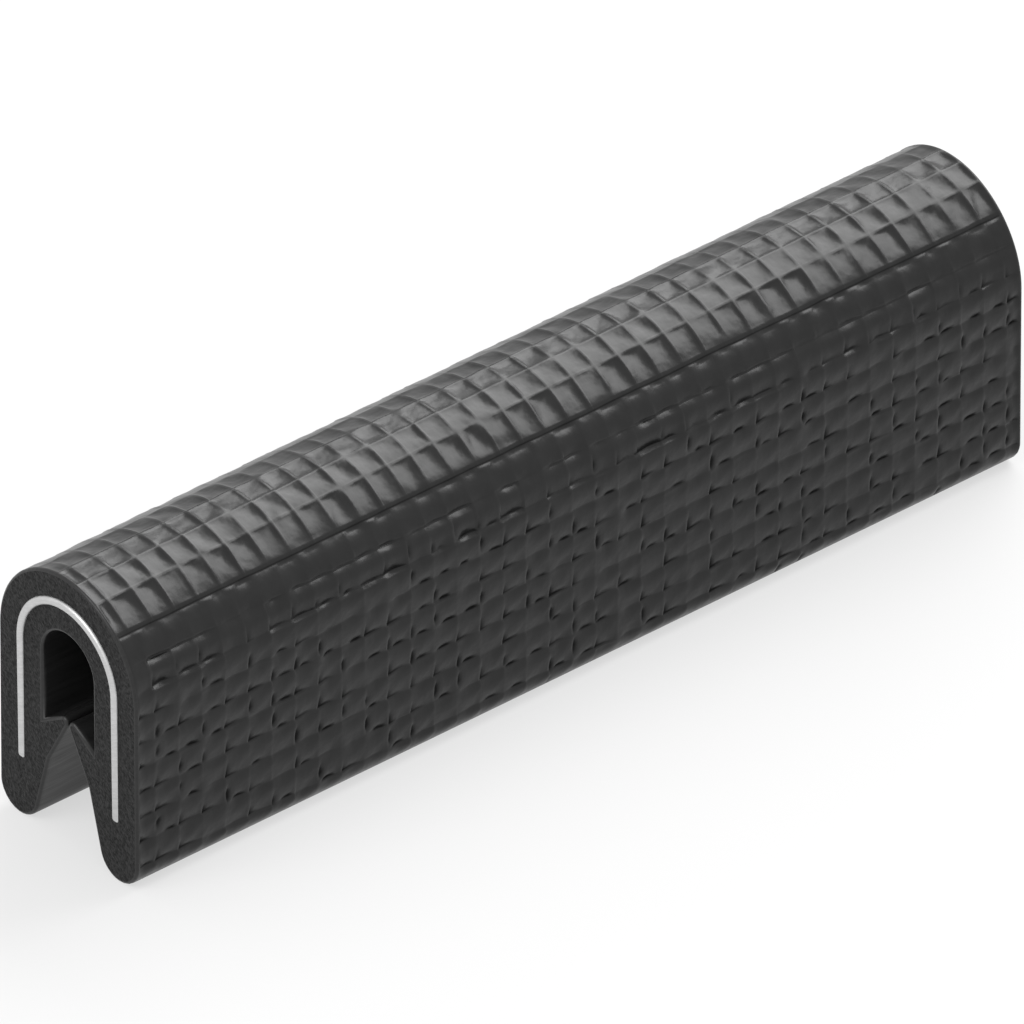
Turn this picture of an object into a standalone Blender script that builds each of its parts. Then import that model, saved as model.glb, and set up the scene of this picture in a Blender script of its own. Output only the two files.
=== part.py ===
"""Edge trim seal: a soft rubber channel with two gripping lips, moulded round a U-shaped steel insert.

The trim is pushed over a panel's edge. The section lies in XZ, standing on its two feet at z = 0,
and runs along Y, centred on the origin. Sizes are in metres.
"""

import math

import bmesh
import bpy

MM = 0.001

# Rubber profile: overall size
WIDTH = 9.5 * MM
HEIGHT = 14.4 * MM
LENGTH = 51.3 * MM

# Panel slot and the lips that close it
SLOT_WIDTH = 3.5 * MM
LIP_ROOT_HEIGHT = 5.98 * MM
LIP_GAP = 0.08 * MM
LIP_TIP_RADIUS = 0.283 * MM
LIP_TOP_SLOPE = math.radians(32.3)
LIP_UNDER_SLOPE = math.radians(61.8)

# Mouth below the lips, feet and cut ends
MOUTH_BEND_HEIGHT = 3.98 * MM
FOOT_RADIUS = 1.306 * MM
END_FILLET = 0.14 * MM

# Steel insert, half way through the rubber wall
INSERT_THICKNESS = 0.42 * MM
INSERT_FOOT_HEIGHT = 3.12 * MM
INSERT_CORNER_RADIUS = 0.15 * MM
INSERT_END_FILLET = 0.05 * MM
INSERT_POCKET_CLEARANCE = 0.01 * MM
INSERT_PROUD = 0.016 * MM
INSERT_END_LEAN = math.radians(0.8)

# Steps along the arcs
ARC_STEP = math.radians(3.75)
SMALL_ARC_STEP = math.radians(15.0)
FILLET_SEGMENTS = 3
SHARP_ANGLE = math.radians(30.0)

CROWN_RADIUS = WIDTH / 2
SLOT_RADIUS = SLOT_WIDTH / 2
CROWN_CENTRE_HEIGHT = HEIGHT - CROWN_RADIUS
INSERT_MEAN_RADIUS = (CROWN_RADIUS + SLOT_RADIUS) / 2


def clear_scene():
    for thing in list(bpy.data.objects):
        bpy.data.objects.remove(thing, do_unlink=True)


def arc(centre, radius, start, end, step):
    """Points (x, z) along an arc from the angle start to the angle end, both ends included."""
    count = max(2, math.ceil(abs(end - start) / step))
    angles = [start + (end - start) * i / count for i in range(count + 1)]
    return [(centre[0] + radius * math.cos(a), centre[1] + radius * math.sin(a)) for a in angles]


def whole_outline(right_half):
    """The closed outline of a section from its right half, whose two ends lie on the centre line."""
    left_half = [(-x, z) for x, z in reversed(right_half[1:-1])]
    return right_half + left_half


def rubber_outline():
    """Crown, outer side, foot, mouth, lip, slot wall and slot top, from the crown round to the slot top."""
    # The lip's round tip touches its top face, which starts at the foot of the slot wall.
    root = (SLOT_RADIUS, LIP_ROOT_HEIGHT)
    top_normal = math.pi / 2 - LIP_TOP_SLOPE
    tip_x = LIP_GAP / 2 + LIP_TIP_RADIUS
    tip_z = root[1] - (LIP_TIP_RADIUS + (tip_x - root[0]) * math.cos(top_normal)) / math.sin(top_normal)
    under_normal = math.pi * 3 / 2 - LIP_UNDER_SLOPE
    tip = arc((tip_x, tip_z), LIP_TIP_RADIUS, under_normal, top_normal, SMALL_ARC_STEP)

    # The lip's underside runs down from the tip to the bend, and the mouth from there to the foot.
    under_top_x, under_top_z = tip[0]
    bend = (
        under_top_x + (under_top_z - MOUTH_BEND_HEIGHT) / math.tan(LIP_UNDER_SLOPE),
        MOUTH_BEND_HEIGHT,
    )
    foot_centre = (WIDTH / 2 - FOOT_RADIUS, FOOT_RADIUS)
    reach = math.dist(bend, foot_centre)
    to_foot = math.atan2(foot_centre[1] - bend[1], foot_centre[0] - bend[0])
    mouth_normal = to_foot - math.asin(FOOT_RADIUS / reach) - math.pi / 2
    foot_outside = arc(foot_centre, FOOT_RADIUS, 0, -math.pi / 2, SMALL_ARC_STEP)
    foot_inside = arc(foot_centre, FOOT_RADIUS, -math.pi / 2, mouth_normal, SMALL_ARC_STEP)
    foot = foot_outside + foot_inside[1:]

    crown = arc((0, CROWN_CENTRE_HEIGHT), CROWN_RADIUS, math.pi / 2, 0, ARC_STEP)
    slot_top = arc((0, CROWN_CENTRE_HEIGHT), SLOT_RADIUS, 0, math.pi / 2, 2 * ARC_STEP)
    return whole_outline(crown + foot + [bend] + tip + [root] + slot_top)


def strip_outline(thickness, foot_height, corner_radius):
    """A U strip on the insert's middle line: outer arc, leg, rounded leg end, leg and inner arc."""
    outer = INSERT_MEAN_RADIUS + thickness / 2
    inner = INSERT_MEAN_RADIUS - thickness / 2
    centre = (0, CROWN_CENTRE_HEIGHT)
    corner_height = foot_height + corner_radius
    outer_arc = arc(centre, outer, math.pi / 2, 0, ARC_STEP)
    outer_corner = arc((outer - corner_radius, corner_height), corner_radius, 0, -math.pi / 2, SMALL_ARC_STEP * 2)
    inner_corner = arc(
        (inner + corner_radius, corner_height), corner_radius, -math.pi / 2, -math.pi, SMALL_ARC_STEP * 2
    )
    inner_arc = arc(centre, inner, 0, math.pi / 2, ARC_STEP)
    return whole_outline(outer_arc + outer_corner + inner_corner + inner_arc)


def extruded(outline, length, end_fillet=0.0):
    """A bmesh of the outline drawn out along Y about the origin, with the edges of both ends rounded."""
    bm = bmesh.new()
    near_end = bm.faces.new([bm.verts.new((x, -length / 2, z)) for x, z in outline])
    drawn = bmesh.ops.extrude_face_region(bm, geom=[near_end], use_keep_orig=True)
    far_verts = [v for v in drawn["geom"] if isinstance(v, bmesh.types.BMVert)]
    far_end = next(f for f in drawn["geom"] if isinstance(f, bmesh.types.BMFace))
    bmesh.ops.translate(bm, verts=far_verts, vec=(0, length, 0))
    bmesh.ops.recalc_face_normals(bm, faces=bm.faces)
    if end_fillet:
        bmesh.ops.bevel(
            bm,
            geom=list(near_end.edges) + list(far_end.edges),
            offset=end_fillet,
            segments=FILLET_SEGMENTS,
            profile=0.5,
            affect="EDGES",
            clamp_overlap=False,
            material=-1,
        )
    return bm


def material(name, color, roughness, metallic=0.0):
    finish = bpy.data.materials.new(name)
    finish.use_nodes = True
    shader = finish.node_tree.nodes["Principled BSDF"]
    shader.inputs["Base Color"].default_value = (*color, 1.0)
    shader.inputs["Roughness"].default_value = roughness
    shader.inputs["Metallic"].default_value = metallic
    finish.diffuse_color = (*color, 1.0)
    return finish


def solid(name, bm, finish=None):
    """An object of the finished bmesh, shaded smooth apart from its real edges."""
    mesh = bpy.data.meshes.new(name)
    bm.to_mesh(mesh)
    bm.free()
    mesh.shade_smooth()
    mesh.set_sharp_from_angle(angle=SHARP_ANGLE)
    if finish:
        mesh.materials.append(finish)
    thing = bpy.data.objects.new(name, mesh)
    bpy.context.scene.collection.objects.link(thing)
    return thing


def insert_pocket():
    """The space that the moulded rubber leaves for the insert, drawn out past both ends."""
    grown = strip_outline(
        INSERT_THICKNESS + 2 * INSERT_POCKET_CLEARANCE,
        INSERT_FOOT_HEIGHT - INSERT_POCKET_CLEARANCE,
        INSERT_CORNER_RADIUS + INSERT_POCKET_CLEARANCE,
    )
    pocket = solid("insert_pocket", extruded(grown, LENGTH + WIDTH))
    pocket.hide_render = True
    pocket.display_type = "WIRE"
    return pocket


def rubber_profile():
    """The one moulded piece: channel, crown and both lips, with the pocket for the insert cut through."""
    rubber = material("soft_black_rubber", (0.035, 0.035, 0.037), 0.75)
    profile = solid("rubber_profile", extruded(rubber_outline(), LENGTH, END_FILLET), rubber)
    cut = profile.modifiers.new("insert_pocket", "BOOLEAN")
    cut.operation = "DIFFERENCE"
    cut.solver = "EXACT"
    cut.object = insert_pocket()
    return profile


def steel_insert():
    """The bent steel strip, whose cut ends stand a little proud of the rubber, most at the crown."""
    steel = material("bright_steel", (0.62, 0.62, 0.63), 0.32, metallic=1.0)
    outline = strip_outline(INSERT_THICKNESS, INSERT_FOOT_HEIGHT, INSERT_CORNER_RADIUS)
    bm = extruded(outline, LENGTH + 2 * INSERT_PROUD, INSERT_END_FILLET)
    for vert in bm.verts:
        lean = (vert.co.z - INSERT_FOOT_HEIGHT) * math.tan(INSERT_END_LEAN)
        vert.co.y += math.copysign(lean, vert.co.y)
    return solid("steel_insert", bm, steel)


clear_scene()
rubber_profile()
steel_insert()
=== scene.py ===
"""Edge trim seal: a short length of black rubber channel with an embossed skin, round a bent steel strip.

The trim stands on its two feet at z = 0 and runs along Y, centred on the origin. Sizes are in metres.
"""

import bisect
import math
import random

import bmesh
import bpy
from mathutils import Matrix, Vector, noise


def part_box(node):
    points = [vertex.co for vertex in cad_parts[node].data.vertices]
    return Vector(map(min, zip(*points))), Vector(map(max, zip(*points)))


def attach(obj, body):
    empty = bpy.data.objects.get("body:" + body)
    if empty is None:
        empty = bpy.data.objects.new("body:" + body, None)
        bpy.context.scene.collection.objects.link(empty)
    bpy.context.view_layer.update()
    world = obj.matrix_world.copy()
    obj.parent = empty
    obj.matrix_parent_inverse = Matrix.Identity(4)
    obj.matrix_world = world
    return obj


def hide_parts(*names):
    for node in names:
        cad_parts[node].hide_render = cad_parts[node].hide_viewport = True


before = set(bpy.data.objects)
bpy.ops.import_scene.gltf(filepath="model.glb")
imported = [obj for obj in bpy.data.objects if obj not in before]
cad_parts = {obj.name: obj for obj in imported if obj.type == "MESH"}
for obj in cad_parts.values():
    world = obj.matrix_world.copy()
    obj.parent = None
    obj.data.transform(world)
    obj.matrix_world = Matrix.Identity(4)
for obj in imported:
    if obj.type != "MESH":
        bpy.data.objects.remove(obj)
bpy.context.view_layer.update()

# Camera. It looks down on the near cut end and the right-hand side, as the photograph does. The
# photograph shows no perspective, so the lens is a very long one from far away.
MM = 0.001
AZIMUTH = math.radians(50)
ELEVATION = math.radians(35)
LENS = 1500
SENSOR = 36
NEAREST_SEEN = 0.1
FARTHEST_SEEN = 10
CAMERA_DISTANCE = 1897 * MM
LOOK_AT = Vector((-2.39, 1.91, 4.36)) * MM

back = Vector(
    (
        math.sin(AZIMUTH) * math.cos(ELEVATION),
        -math.cos(AZIMUTH) * math.cos(ELEVATION),
        math.sin(ELEVATION),
    )
)
lens = bpy.data.cameras.new("camera")
lens.lens = LENS
lens.sensor_width = SENSOR
lens.clip_start = NEAREST_SEEN
lens.clip_end = FARTHEST_SEEN
camera = bpy.data.objects.new("camera", lens)
camera.location = LOOK_AT + back * CAMERA_DISTANCE
camera.rotation_euler = back.to_track_quat("Z", "Y").to_euler()
bpy.context.scene.collection.objects.link(camera)
bpy.context.scene.camera = camera
bpy.context.scene.view_settings.view_transform = "Standard"


# Floor. A plain white light table: it glows, so that the trim's own shadow hardly darkens it.
FLOOR_SIZE = 4.0
FLOOR_GREY = 0.2
FLOOR_GLOW = 0.62

table = bmesh.new()
bmesh.ops.create_grid(table, x_segments=1, y_segments=1, size=FLOOR_SIZE / 2)
floor_mesh = bpy.data.meshes.new("floor")
table.to_mesh(floor_mesh)
table.free()
floor = bpy.data.objects.new("floor", floor_mesh)
bpy.context.scene.collection.objects.link(floor)
white_table = bpy.data.materials.new("white_table")
white_table.use_nodes = True
table_shader = white_table.node_tree.nodes["Principled BSDF"]
table_shader.inputs["Base Color"].default_value = (FLOOR_GREY, FLOOR_GREY, FLOOR_GREY, 1)
table_shader.inputs["Roughness"].default_value = 1
table_shader.inputs["Specular IOR Level"].default_value = 0
table_shader.inputs["Emission Color"].default_value = (1, 1, 1, 1)
table_shader.inputs["Emission Strength"].default_value = FLOOR_GLOW
floor_mesh.materials.append(white_table)


# Studio light. A white tent all round, a wide softbox above the far end that gives the crown its sheen,
# and a smaller one above the near end that glints on the steel's edge.
LIGHT_DISTANCE = 0.4

tent = bpy.data.worlds.new("tent")
tent.use_nodes = True
tent.node_tree.nodes["Background"].inputs["Color"].default_value = (1, 1, 1, 1)
bpy.context.scene.world = tent


def softbox(name, direction, width, height, brightness):
    """A flat light that faces the trim from a direction; brightness is that of its front."""
    light = bpy.data.lights.new(name, "AREA")
    light.shape = "RECTANGLE"
    light.size = width
    light.size_y = height
    light.energy = brightness * math.pi * width * height
    lamp = bpy.data.objects.new(name, light)
    away = Vector(direction).normalized()
    across = (Vector((1, 0, 0)) - away * away.x).normalized()
    lamp.location = LOOK_AT + away * LIGHT_DISTANCE
    lamp.rotation_euler = Matrix((across, away.cross(across), away)).transposed().to_euler()
    lamp.visible_camera = False
    bpy.context.scene.collection.objects.link(lamp)


softbox("crown_softbox", direction=(-0.19, 0.65, 0.75), width=0.46, height=0.26, brightness=5.7)
softbox("end_softbox", direction=(-0.05, -0.75, 0.66), width=0.22, height=0.22, brightness=4.5)


# Rubber profile. One moulded piece of soft black rubber: crown, walls, feet and the two lips in the slot.
# It is extruded round the steel strip, embossed with small squares by a roller while it is warm, and cut
# to length, which leaves a finely grained face at each end with a worn, rounded rim.
low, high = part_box("rubber_profile")
WIDTH = high.x - low.x
HEIGHT = high.z - low.z
LENGTH = high.y - low.y
SLOT_WIDTH = 3.5 * MM
LIP_ROOT_HEIGHT = 5.98 * MM
LIP_GAP = 0.08 * MM
LIP_TIP_RADIUS = 0.283 * MM
LIP_TOP_SLOPE = math.radians(32.3)
LIP_UNDER_SLOPE = math.radians(61.8)
MOUTH_BEND_HEIGHT = 3.98 * MM
FOOT_RADIUS = 1.306 * MM
RIM_RADIUS = 0.14 * MM
RIM_SEGMENTS = 5
CROWN_RADIUS = WIDTH / 2
SLOT_RADIUS = SLOT_WIDTH / 2
CROWN_CENTRE = Vector((0, 0, HEIGHT - CROWN_RADIUS))

# The squares of the embossing: how far apart their lines are, and where the first one lies on the crown,
# up the sides and along the trim
PITCH = 1.331 * MM
CROWN_LINE = 0.534 * MM
SIDE_LINE = 1.2 * MM
CROWN_CROSS_LINE = 0.806 * MM
SIDE_CROSS_LINE = 1.129 * MM

# The mesh has its rows and stations at these shares of a square, close together where the lines are.
ROW_STOPS = (0, 0.045, 0.1, 0.2, 0.4, 0.62, 0.82, 0.94)
STATION_STOPS = (0, 0.045, 0.09, 0.15, 0.27, 0.42, 0.58, 0.76, 0.93)
CLOSEST_ROWS = 0.03 * MM

# The crease between crown and side, 45 degrees down from the top, and the rows of the mesh beside it
CREASE = CROWN_RADIUS * math.sin(math.radians(45))
CREASE_HEIGHT = CROWN_CENTRE.z + CREASE
SEAM_LEDGE = 0.06 * MM
SEAM_RIDGE = 0.18 * MM

# The embossing starts half way round the foot. Places closer than the slack count as one.
FOOT_FLANK = FOOT_RADIUS * (1 - math.cos(math.radians(45)))
SLACK = 0.001 * MM


def arc(centre_x, centre_z, radius, start, end, step):
    """Points of the section along an arc, with both its ends; angles in degrees."""
    count = max(2, math.ceil(abs(end - start) / step))
    angles = [math.radians(start + (end - start) * i / count) for i in range(count + 1)]
    return [(centre_x + radius * math.cos(a), centre_z + radius * math.sin(a)) for a in angles]


def stops_between(first_line, stops, start, end):
    """The places between start and end where the embossing needs a row of the mesh."""
    first = math.floor((start - first_line) / PITCH)
    last = math.ceil((end - first_line) / PITCH)
    places = [first_line + (k + stop) * PITCH for k in range(first, last + 1) for stop in stops]
    return [place for place in places if start + CLOSEST_ROWS < place < end - CLOSEST_ROWS]


def flank(side):
    """One embossed side from the foot to just below the crease; side is 1 on the right, -1 on the left."""
    points = []
    rows = stops_between(SIDE_LINE, ROW_STOPS, FOOT_FLANK, CREASE_HEIGHT - SEAM_RIDGE)
    for z in [FOOT_FLANK] + rows + [CREASE_HEIGHT - SEAM_RIDGE, CREASE_HEIGHT - SEAM_LEDGE]:
        x = CROWN_RADIUS
        if z < FOOT_RADIUS:
            x += math.sqrt(FOOT_RADIUS**2 - (FOOT_RADIUS - z) ** 2) - FOOT_RADIUS
        if z > CROWN_CENTRE.z:
            x = math.sqrt(CROWN_RADIUS**2 - (z - CROWN_CENTRE.z) ** 2)
        points.append((side * x, z))
    return points


def inner_half():
    """The right half of the section's inside: foot, mouth, lip, slot wall and slot top."""
    root = (SLOT_RADIUS, LIP_ROOT_HEIGHT)
    top_normal = math.pi / 2 - LIP_TOP_SLOPE
    tip_x = LIP_GAP / 2 + LIP_TIP_RADIUS
    tip_drop = LIP_TIP_RADIUS + (tip_x - root[0]) * math.cos(top_normal)
    tip_z = root[1] - tip_drop / math.sin(top_normal)
    under_normal = math.degrees(math.pi * 3 / 2 - LIP_UNDER_SLOPE)
    tip = arc(tip_x, tip_z, LIP_TIP_RADIUS, under_normal, math.degrees(top_normal), step=15)
    bend_x = tip[0][0] + (tip[0][1] - MOUTH_BEND_HEIGHT) / math.tan(LIP_UNDER_SLOPE)
    bend = (bend_x, MOUTH_BEND_HEIGHT)
    foot_x = CROWN_RADIUS - FOOT_RADIUS
    reach = math.dist(bend, (foot_x, FOOT_RADIUS))
    to_foot = math.atan2(FOOT_RADIUS - bend[1], foot_x - bend[0])
    mouth_normal = math.degrees(to_foot - math.asin(FOOT_RADIUS / reach)) - 90
    foot = arc(foot_x, FOOT_RADIUS, FOOT_RADIUS, -45, -90, step=15)[1:]
    foot += arc(foot_x, FOOT_RADIUS, FOOT_RADIUS, -90, mouth_normal, step=12)[1:]
    slot_top = arc(0, CROWN_CENTRE.z, SLOT_RADIUS, 0, 90, step=7.5)
    return foot + [bend] + tip + [root] + slot_top


def rubber_section():
    """The whole outline of the rubber, from the right foot up over the crown and back through the slot."""
    edge = CREASE - SEAM_LEDGE
    crown = stops_between(CROWN_LINE - PITCH, [1 - stop for stop in ROW_STOPS], -edge, edge)
    crown = [CREASE, edge] + sorted(crown, reverse=True) + [-edge, -CREASE]
    over = [(x, CROWN_CENTRE.z + math.sqrt(CROWN_RADIUS**2 - x**2)) for x in crown]
    inside = inner_half()
    inside_left = [(-x, z) for x, z in inside[:-1]]
    return flank(1) + over + flank(-1)[::-1] + inside_left + inside[::-1]


# The strip's place half way through the rubber wall, and the pocket that the rubber leaves for it
STRIP_THICKNESS = 0.42 * MM
STRIP_RADIUS = (CROWN_RADIUS + SLOT_RADIUS) / 2
STRIP_FOOT_HEIGHT = 3.12 * MM
STRIP_CORNER_RADIUS = 0.15 * MM
POCKET_CLEARANCE = 0.01 * MM


def strip_section(grow=0.0):
    """The outline of the bent strip, wider by grow on every face."""
    outer = STRIP_RADIUS + STRIP_THICKNESS / 2 + grow
    inner = STRIP_RADIUS - STRIP_THICKNESS / 2 - grow
    corner = STRIP_CORNER_RADIUS + grow
    foot = STRIP_FOOT_HEIGHT + STRIP_CORNER_RADIUS
    right = arc(0, CROWN_CENTRE.z, outer, 90, 0, step=3)
    right += arc(outer - corner, foot, corner, 0, -90, step=15)
    right += arc(inner + corner, foot, corner, -90, -180, step=15)
    right += arc(0, CROWN_CENTRE.z, inner, 0, 90, step=3)
    return right + [(-x, z) for x, z in right[-2:0:-1]]


def bar(section, length, rim, segments):
    """A bmesh of the section drawn out along Y about the origin, with the edges of its ends rounded."""
    bm = bmesh.new()
    end = bm.faces.new([bm.verts.new((x, -length / 2, z)) for x, z in section])
    drawn = bmesh.ops.extrude_face_region(bm, geom=[end], use_keep_orig=True)["geom"]
    far_verts = [v for v in drawn if isinstance(v, bmesh.types.BMVert)]
    far_end = next(f for f in drawn if isinstance(f, bmesh.types.BMFace))
    bmesh.ops.translate(bm, verts=far_verts, vec=(0, length, 0))
    bmesh.ops.recalc_face_normals(bm, faces=bm.faces)
    bmesh.ops.bevel(
        bm,
        geom=list(end.edges) + list(far_end.edges),
        offset=rim,
        segments=segments,
        profile=0.5,
        affect="EDGES",
        clamp_overlap=False,
        material=-1,
    )
    return bm


def lengthwise(edge):
    """Whether an edge runs along the trim from end to end."""
    return abs(edge.verts[0].co.y - edge.verts[1].co.y) > LENGTH / 2


rubber = bar(rubber_section(), LENGTH, RIM_RADIUS, RIM_SEGMENTS)

# The pocket for the strip runs through. The two cut faces, which have the most corners, are filled again
# round its mouths.
caps = sorted(rubber.faces, key=lambda face: len(face.verts))[-2:]
cap_rims = [list(cap.edges) for cap in caps]
bmesh.ops.delete(rubber, geom=caps, context="FACES_ONLY")
pocket_verts = [rubber.verts.new((x, -LENGTH / 2, z)) for x, z in strip_section(POCKET_CLEARANCE)]
mouth = [rubber.edges.new((a, b)) for a, b in zip(pocket_verts, pocket_verts[1:] + pocket_verts[:1])]
drawn = bmesh.ops.extrude_edge_only(rubber, edges=mouth)["geom"]
far_verts = [v for v in drawn if isinstance(v, bmesh.types.BMVert)]
bmesh.ops.translate(rubber, verts=far_verts, vec=(0, LENGTH, 0))
far_mouth = [e for e in drawn if isinstance(e, bmesh.types.BMEdge) and not lengthwise(e)]
for rim in cap_rims:
    pocket_rim = mouth if rim[0].verts[0].co.y < 0 else far_mouth
    bmesh.ops.triangle_fill(rubber, use_beauty=True, use_dissolve=False, edges=rim + pocket_rim)
bmesh.ops.recalc_face_normals(rubber, faces=rubber.faces)

# Stations along the trim, close together at the embossing's cross lines
flat_end = LENGTH / 2 - RIM_RADIUS
stations = stops_between(CROWN_CROSS_LINE - LENGTH / 2, STATION_STOPS, -flat_end, flat_end)
stations = [-flat_end] + stations + [flat_end]
wall_edges = [e for e in rubber.edges if lengthwise(e) and abs(abs(e.verts[0].co.y) - flat_end) < SLACK]
bmesh.ops.subdivide_edges(rubber, edges=wall_edges, cuts=len(stations) - 2, use_grid_fill=True)
for vert in rubber.verts:
    if abs(vert.co.y) < flat_end:
        share = (vert.co.y / flat_end + 1) / 2
        vert.co.y = stations[round(share * (len(stations) - 1))]

# The embossing, all of it pressed in below the outer size. Thin raised lines part the squares.
LINE_HEIGHT = 0.02 * MM
LINE_WIDTH = 0.045
UPRIGHT_SIDE_LINE = 0.25
LEVEL_SIDE_LINE = 1.6

# On the crown each square is a dimple, with four faint faces that meet in an X. Its rows, from the right
# crease to the left, have their lowest place at these shares along and across the square.
DIMPLE_DEPTH = 0.065 * MM
DIMPLE_FACES = 0.8
CROWN_ROWS = (
    {"along": 0.68, "across": 0.8, "fullness": 1.1, "strength": 2.3},
    {"along": 0.62, "across": 0.74, "fullness": 1.6, "strength": 1.7},
    {"along": 0.5, "across": 0.45, "fullness": 3.6, "strength": 1.35},
    {"along": 0.5, "across": 0.34, "fullness": 2.4, "strength": 1.5},
    {"along": 0.5, "across": 0.45, "fullness": 2.0, "strength": 0.25},
)

# On the sides each square swells to a ridge. Its level lines are pressed in deep, and less so at the nodes.
SIDE_PRESS = 0.15 * MM
SIDE_DIP = 0.006 * MM
SIDE_NODE = 0.6
PEAK_FULLNESS = 1.5
RIDGE_AT_LINE = 0.84
LOWER_FULLNESS = 1.15
UPPER_FULLNESS = 2.0

# The two upper rows of a side lie on the shoulder. Their ridge runs level, at this share up the square,
# and the slope above it, the press, the nodes and the folds differ from those of the rows below.
SHOULDER_ROW = 8
SHOULDER_ROWS = (
    {"ridge": 0.63, "fullness": 1.7, "press": 2.0, "node": 0.72, "fold": 0.6},
    {"ridge": 0.42, "fullness": 2.0, "press": 1.22, "node": 0.5, "fold": 0.1},
)

# Small folds run out of the lower near corner of many side squares, along both its lines.
FOLD_DEPTH = 0.13 * MM
FOLD_START = 0.04
LOW_FOLD_BOTTOM = 0.045
LOW_FOLD_WIDTH = 0.2
LOW_FOLD_CHANCE = 0.75
NEAR_FOLD_BOTTOM = 0.09
NEAR_FOLD_WIDTH = 0.22
NEAR_FOLD_CHANCE = 0.6
CORNER_FOLD_CHANCE = 0.5

# Some nodes came out blurred, more of them on the crown, where the draw starts nearer to 0.
BLUR_REACH = 0.55
CROWN_BLUR_START = -0.6
SIDE_BLUR_START = -1.3

# The seam along the crease, with the painted shade that darkens its colour, and the unevenness of the whole
# skin
SEAM_DEPTH = 0.11 * MM
SEAM_UNEVENNESS = 0.5
SEAM_PAINTED_SHADE = 0.45
WAVE = 0.018 * MM
CROWN_WAVE = 0.036 * MM
WAVE_SPAN = 0.7 * MM
WANDER = 0.03 * MM
WANDER_SPAN = 1.6 * MM

# The embossing fades out at the cut ends and the feet, over these lengths.
END_FADE = 0.12 * MM
SHOULDER_END_FADE = 0.9 * MM
FOOT_FADE = 0.3 * MM

# The cross lines of the sides lie further along than those of the crown. The mesh shifts to them between
# the crease and this level line of the side, and over this length from the cut ends.
SHIFT_LINE = 8
SHIFT_FADE = 1 * MM

# The rows of squares, measured in squares from the first line. Those at the crease end there.
ROWS = {
    "crown": [(CROWN_LINE - CREASE) / PITCH, -1, 0, 1, 2, (CROWN_LINE + CREASE) / PITCH],
    "side": [*range(-1, 9), (CREASE_HEIGHT - SIDE_LINE) / PITCH],
}

# The squares and the skin's unevenness come from a fixed seed, so that every run gives the same trim.
SEED = 11
noise.seed_set(SEED)
squares = {}


def square(zone, i, j):
    """How one square came out of the roller: its form, its folds, its lines and how blurred its node is."""
    if (zone, i, j) not in squares:
        chance = random.Random(f"{SEED} {zone} {i} {j}")
        blur_start = CROWN_BLUR_START if zone == "crown" else SIDE_BLUR_START
        squares[zone, i, j] = {
            "depth": chance.uniform(0.6, 1.3),
            "shift": (chance.uniform(-0.14, 0.14), chance.uniform(-0.07, 0.07)),
            "fullness": (chance.uniform(0.75, 1.35), chance.uniform(0.75, 1.35)),
            "lines": (chance.uniform(0.1, 1.2), chance.uniform(0.1, 1.2)),
            "press": chance.uniform(0.8, 1.2),
            "ridge": chance.uniform(0.42, 0.58),
            "shoulder_press": chance.uniform(0.5, 1.15),
            "corner_fold": chance.random() < CORNER_FOLD_CHANCE,
            "low_fold": chance.uniform(0.5, 1) if chance.random() < LOW_FOLD_CHANCE else 0,
            "low_fold_at": chance.uniform(0.3, 0.75),
            "low_fold_reach": chance.uniform(0.2, 0.4),
            "corner_reach": (chance.uniform(0.35, 0.95), chance.uniform(0.3, 0.75)),
            "near_fold": chance.uniform(0.5, 1) if chance.random() < NEAR_FOLD_CHANCE else 0,
            "near_fold_at": chance.uniform(0.15, 0.6),
            "near_fold_reach": chance.uniform(0.25, 0.45),
            "blur": max(0, chance.uniform(blur_start, 1)),
        }
    return squares[zone, i, j]


def clamped(share):
    """A share, kept between 0 and 1."""
    return min(1, max(0, share))


def hump(distance, reach):
    """A smooth bump, 1 at the middle and 0 beyond its reach."""
    return max(0, 1 - (distance / reach) ** 2) ** 2


def trough(share, lowest, fullness):
    """A dip across one square: 0 at both lines, 1 at its lowest place, flatter there the fuller it is."""
    share = share / lowest if share < lowest else (1 - share) / (1 - lowest)
    return 1 - (1 - share) ** fullness


def fold_profile(share, bottom, width):
    """Across a fold from the line it lies against: 0 at the line, 1 at its bottom, 0 past its width."""
    return max(0, min(share / bottom, (width - share) / (width - bottom)))


def dimple(j, p, q, own):
    """How deep a crown square is at the shares p along it and q across it."""
    row = CROWN_ROWS[j]
    along = trough(p, row["along"] + own["shift"][0], row["fullness"] * own["fullness"][0])
    across = trough(q, row["across"] + own["shift"][1], row["fullness"] * own["fullness"][1])
    sunk = along * across + DIMPLE_FACES * (min(along, across) - along * across)
    return DIMPLE_DEPTH * row["strength"] * own["depth"] * sunk


def swelling(j, p, q, own):
    """How deep a side square is at the shares p along it and q up it: least at its ridge."""
    along = trough(p, 0.5 + own["shift"][0], PEAK_FULLNESS)
    press = SIDE_PRESS * own["press"]
    if j < SHOULDER_ROW:
        ridge = RIDGE_AT_LINE + (own["ridge"] - RIDGE_AT_LINE) * along
        fullness = UPPER_FULLNESS
        node = SIDE_NODE
    else:
        row = SHOULDER_ROWS[j - SHOULDER_ROW]
        ridge = row["ridge"]
        fullness = row["fullness"]
        node = row["node"]
        press *= row["press"] * own["shoulder_press"]
    rise = trough(q, ridge, LOWER_FULLNESS if q < ridge else fullness)
    return press * (1 - rise) * (node + (1 - node) * along) + SIDE_DIP * along


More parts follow.
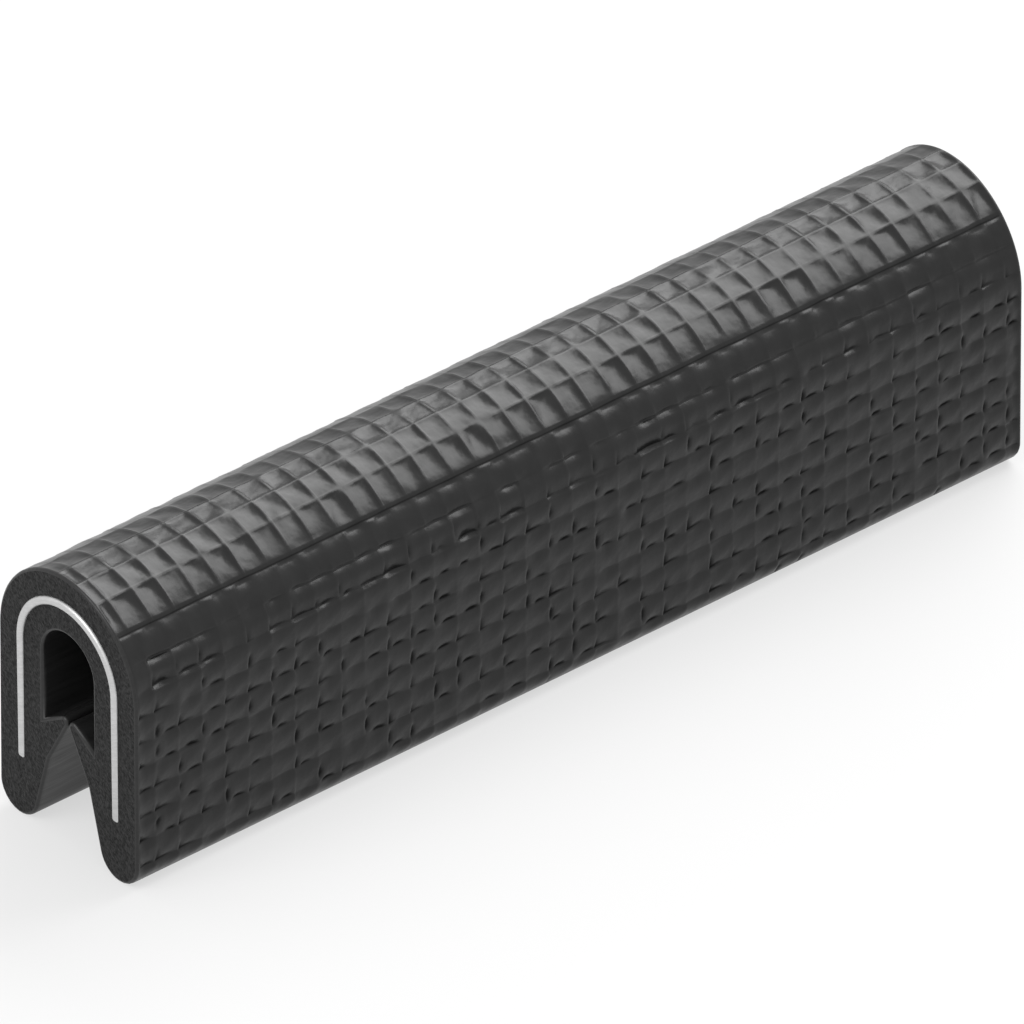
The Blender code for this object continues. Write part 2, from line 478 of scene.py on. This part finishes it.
def side_fold(j, p, q, own):
    """How much a side square folds there, by a wedge out of its corner or by two short folds along its
    lines; the same amount sets the painted shade there.
    """
    if own["corner_fold"]:
        low_fold = own["low_fold"] * max(0, min(p / FOLD_START, 1 - p / own["corner_reach"][0]))
        near_fold = own["low_fold"] * max(0, min(q / FOLD_START, 1 - q / own["corner_reach"][1]))
    else:
        low_fold = own["low_fold"] * hump(p - own["low_fold_at"], own["low_fold_reach"])
        near_fold = own["near_fold"] * hump(q - own["near_fold_at"], own["near_fold_reach"])
    fold = max(
        low_fold * fold_profile(q, LOW_FOLD_BOTTOM, LOW_FOLD_WIDTH),
        near_fold * fold_profile(p, NEAR_FOLD_BOTTOM, NEAR_FOLD_WIDTH),
    )
    return fold if j < SHOULDER_ROW else fold * SHOULDER_ROWS[j - SHOULDER_ROW]["fold"]


def emboss(zone, u, v):
    """How far the skin lies below its outer size, and its fold, which also sets the painted shade, at a
    place measured in squares.
    """
    rows = ROWS["crown" if zone == "crown" else "side"]
    i = math.floor(u)
    j = min(max(bisect.bisect_right(rows, v) - 1, 0), len(rows) - 2)
    p = u - i
    q = clamped((v - rows[j]) / (rows[j + 1] - rows[j]))
    own = square(zone, i, j)
    lines = (
        (p, own["lines"][0]),
        (1 - p, square(zone, i + 1, j)["lines"][0]),
        (q, own["lines"][1]),
        (1 - q, square(zone, i, j + 1)["lines"][1]),
    )
    line = max(max(0, 1 - gap / LINE_WIDTH) * height for gap, height in lines)
    if zone == "crown":
        depth, fold = dimple(j, p, q, own), 0
    else:
        depth, fold = swelling(j, p, q, own), side_fold(j, p, q, own)
        line *= UPRIGHT_SIDE_LINE if min(p, 1 - p) < min(q, 1 - q) else LEVEL_SIDE_LINE
    depth += LINE_HEIGHT * (1 - line)
    blur = 0
    for di, dj in ((0, 0), (0, 1), (1, 0), (1, 1)):
        node_blur = square(zone, i + di, j + dj)["blur"]
        blur = max(blur, node_blur * hump(math.dist((p, q), (di, dj)), BLUR_REACH))
    return depth * (1 - blur) + LINE_HEIGHT * blur + FOLD_DEPTH * fold, fold


def places(co):
    """The zone and the place in squares of a point on the skin, twice where crown and side meet."""
    found = []
    along = co.y + LENGTH / 2
    if co.z > CREASE_HEIGHT - SLACK:
        found.append(("crown", (along - CROWN_CROSS_LINE) / PITCH, (CROWN_LINE - co.x) / PITCH))
    if co.z < CREASE_HEIGHT + SLACK:
        side = "right" if co.x > 0 else "left"
        found.append((side, (along - SIDE_CROSS_LINE) / PITCH, (co.z - SIDE_LINE) / PITCH))
    return found


def on_skin(co):
    """Whether a point lies on the embossed outside, from half way round one foot to the other."""
    if co.z > CROWN_CENTRE.z:
        return math.hypot(co.x, co.z - CROWN_CENTRE.z) > STRIP_RADIUS
    return abs(co.x) > CROWN_RADIUS - FOOT_FLANK - SLACK


def end_fade(co):
    """The length over which the embossing fades out at a cut end, longer on the shoulders."""
    if co.z > CREASE_HEIGHT - SLACK:
        return END_FADE
    return END_FADE + (SHOULDER_END_FADE - END_FADE) * clamped((co.z - CROWN_CENTRE.z) / PITCH)


rubber.normal_update()
# Each vertex of the skin keeps a painted shade, which darkens its colour in the folds and along the seam.
painted_fold_shade = rubber.verts.layers.float.new("painted_fold_shade")
shift_height = SIDE_LINE + SHIFT_LINE * PITCH
moves = []
for vert in rubber.verts:
    co = vert.co
    from_end = flat_end - abs(co.y)
    if from_end > SLACK:
        share = clamped((CREASE_HEIGHT - co.z) / (CREASE_HEIGHT - shift_height))
        co.y += (SIDE_CROSS_LINE - CROWN_CROSS_LINE) * (share * clamped(from_end / SHIFT_FADE))
        if on_skin(co):
            fade = clamped((flat_end - abs(co.y)) / end_fade(co))
            if co.z < SIDE_LINE:
                fade *= clamped((co.z - FOOT_FLANK) / FOOT_FADE)
            found = places(co)
            depth, fold = emboss(*found[0])
            if len(found) == 2:
                depth = SEAM_DEPTH * (1 + SEAM_UNEVENNESS * noise.noise(co / WANDER_SPAN))
                # Along the seam the painted shade is a fixed amount.
                fold = SEAM_PAINTED_SHADE
            vert[painted_fold_shade] = fade * fold
            wave = CROWN_WAVE if co.z > CREASE_HEIGHT else WAVE
            depth = max(0, depth + wave * noise.noise(co / WAVE_SPAN))
            wander = noise.noise_vector(co / WANDER_SPAN) * WANDER
            wander -= vert.normal * wander.dot(vert.normal)
            moves.append((vert, fade * (wander - vert.normal * depth)))
for vert, move in moves:
    vert.co += move

# The three finishes, in the order in which the mesh gets them: skin, moulded inside and rims, cut faces
SKIN, INSIDE, CUT = range(3)
for face in rubber.faces:
    middle = face.calc_center_median()
    face.smooth = True
    if abs(middle.y) > LENGTH / 2 - SLACK:
        face.material_index = CUT
        face.smooth = False
    elif abs(middle.y) > flat_end or not on_skin(middle):
        face.material_index = INSIDE
    else:
        face.material_index = SKIN

rubber_mesh = bpy.data.meshes.new("rubber_channel")
rubber.to_mesh(rubber_mesh)
rubber.free()


def add_node(finish, kind, **inputs):
    """A shader node of a finish, with values or other nodes' outputs on its named inputs."""
    tree = finish.node_tree
    made = tree.nodes.new("ShaderNode" + kind)
    for name, value in inputs.items():
        socket = made.inputs[name.replace("_", " ")]
        if isinstance(value, bpy.types.NodeSocket):
            tree.links.new(value, socket)
        else:
            socket.default_value = value
    return made


def grain(finish, size, detail=2.0, stretch=(1, 1, 1), turn=(0, 0, 0)):
    """Uneven spots about size across in the piece's own space, stretched and turned if asked."""
    place = add_node(finish, "TexCoord").outputs["Object"]
    place = add_node(finish, "Mapping", Vector=place, Rotation=turn).outputs["Vector"]
    place = add_node(finish, "Mapping", Vector=place, Scale=[1 / s for s in stretch]).outputs["Vector"]
    return add_node(finish, "TexNoise", Vector=place, Scale=1 / size, Detail=detail).outputs["Fac"]


def spread(finish, source, low, high, start=0.3, end=0.7):
    """Turns a pattern into values from low, where it is start or less, to high, where it is end or more."""
    ranged = add_node(
        finish, "MapRange", Value=source, From_Min=start, From_Max=end, To_Min=low, To_Max=high
    )
    return ranged.outputs["Result"]


def times(finish, first, second):
    """The product of two patterns."""
    product = add_node(finish, "Math")
    product.operation = "MULTIPLY"
    for source, socket in zip((first, second), product.inputs):
        finish.node_tree.links.new(source, socket)
    return product.outputs["Value"]


def new_finish(name, specular=0.36, metallic=0.0):
    """A material with its shader's even values set."""
    finish = bpy.data.materials.new(name)
    finish.use_nodes = True
    shader = finish.node_tree.nodes["Principled BSDF"]
    shader.inputs["Specular IOR Level"].default_value = specular
    shader.inputs["Metallic"].default_value = metallic
    return finish


def dress(finish, tone, roughness, height, relief):
    """Links a finish's tone, roughness and surface height, which stands relief high, to its shader."""
    shader = finish.node_tree.nodes["Principled BSDF"]
    bump = add_node(finish, "Bump", Height=height, Distance=relief)
    finish.node_tree.links.new(tone, shader.inputs["Base Color"])
    finish.node_tree.links.new(roughness, shader.inputs["Roughness"])
    finish.node_tree.links.new(bump.outputs["Normal"], shader.inputs["Normal"])
    return finish


def embossed_rubber():
    """The skin: black with faint blotches and a low sheen, duller in the folds and along the seam, where
    painted shade also darkens its colour.
    """
    finish = new_finish("embossed_rubber", specular=0.3)
    fold = add_node(finish, "Attribute")
    fold.attribute_name = "painted_fold_shade"
    # Painted shade: the colour darkens in the folds and along the seam, down to a tenth of it.
    painted_shade_factor = spread(finish, fold.outputs["Fac"], low=1, high=0.1, start=0, end=0.6)
    blotches = grain(finish, size=0.9 * MM, detail=3)
    tone = times(finish, spread(finish, blotches, low=0.006, high=0.009), painted_shade_factor)
    roughness = spread(finish, fold.outputs["Fac"], low=0.3, high=0.95, start=0, end=0.5)
    pores = grain(finish, size=0.55 * MM, detail=1.5)
    return dress(finish, tone, roughness, pores, relief=0.025 * MM)


def moulded_rubber():
    """The slot, the mouth and the rims: plain, with faint streaks along the trim from the die."""
    finish = new_finish("moulded_rubber")
    streaks = grain(finish, size=0.18 * MM, stretch=(1, 14, 1))
    tone = spread(finish, streaks, low=0.008, high=0.013)
    sheen = grain(finish, size=0.3 * MM, stretch=(1, 8, 1))
    roughness = spread(finish, sheen, low=0.33, high=0.45)
    return dress(finish, tone, roughness, streaks, relief=0.01 * MM)


def cut_rubber():
    """The cut faces: dull black with a fine grain, drawn out a little the way the saw ran."""
    finish = new_finish("cut_rubber", specular=0.25)
    saw_grain = grain(finish, size=0.1 * MM, stretch=(1, 1, 1.35), turn=(0, math.radians(40), 0))
    tone = spread(finish, saw_grain, low=0, high=0.017)
    roughness = spread(finish, saw_grain, low=0.8, high=0.6)
    return dress(finish, tone, roughness, saw_grain, relief=0.08 * MM)


for finish in (embossed_rubber(), moulded_rubber(), cut_rubber()):
    rubber_mesh.materials.append(finish)
rubber_channel = bpy.data.objects.new("rubber_channel", rubber_mesh)
bpy.context.scene.collection.objects.link(rubber_channel)
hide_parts("rubber_profile")
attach(rubber_channel, "root")


# Steel strip. Cold-rolled strip bent to a U inside the rubber. The saw leaves its end faces bright and a
# hair proud of the rubber, most at the crown, where their edges are the most rounded.
STRIP_PROUD = 0.016 * MM
STRIP_END_LEAN = math.radians(0.8)
STRIP_RIM = 0.06 * MM
STRIP_RIM_SEGMENTS = 5
STRIP_CROWN_RIM = 0.15 * MM

strip = bar(strip_section(), LENGTH + 2 * STRIP_PROUD, STRIP_RIM, STRIP_RIM_SEGMENTS)
strip_end = LENGTH / 2 + STRIP_PROUD
strip_top = CROWN_CENTRE.z + STRIP_RADIUS + STRIP_THICKNESS / 2
for vert in strip.verts:
    climb = (vert.co.z - STRIP_FOOT_HEIGHT) / (strip_top - STRIP_FOOT_HEIGHT)
    rim_growth = 1 + (STRIP_CROWN_RIM / STRIP_RIM - 1) * climb
    out = Vector((vert.co.x, 0, max(0, vert.co.z - CROWN_CENTRE.z)))
    wall = STRIP_RADIUS + math.copysign(STRIP_THICKNESS / 2, out.length - STRIP_RADIUS)
    vert.co += out.normalized() * (wall - out.length) * (1 - rim_growth)
    vert.co.y = math.copysign(strip_end - (strip_end - abs(vert.co.y)) * rim_growth, vert.co.y)
    lean = (vert.co.z - STRIP_FOOT_HEIGHT) * math.tan(STRIP_END_LEAN)
    vert.co.y += math.copysign(lean, vert.co.y)
for face in strip.faces:
    face.smooth = True
strip_mesh = bpy.data.meshes.new("steel_strip")
strip.to_mesh(strip_mesh)
strip.free()


def bright_steel():
    """Bright steel with fine slanting saw marks."""
    finish = new_finish("bright_steel", specular=0.5, metallic=1)
    saw_marks = grain(finish, size=0.08 * MM, stretch=(6, 6, 1), turn=(0, math.radians(25), 0))
    tone = spread(finish, saw_marks, low=0.52, high=0.6)
    roughness = spread(finish, grain(finish, size=0.3 * MM), low=0.4, high=0.5)
    return dress(finish, tone, roughness, saw_marks, relief=0.002 * MM)


strip_mesh.materials.append(bright_steel())
steel_strip = bpy.data.objects.new("steel_strip", strip_mesh)
bpy.context.scene.collection.objects.link(steel_strip)
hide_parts("steel_insert")
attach(steel_strip, "root")
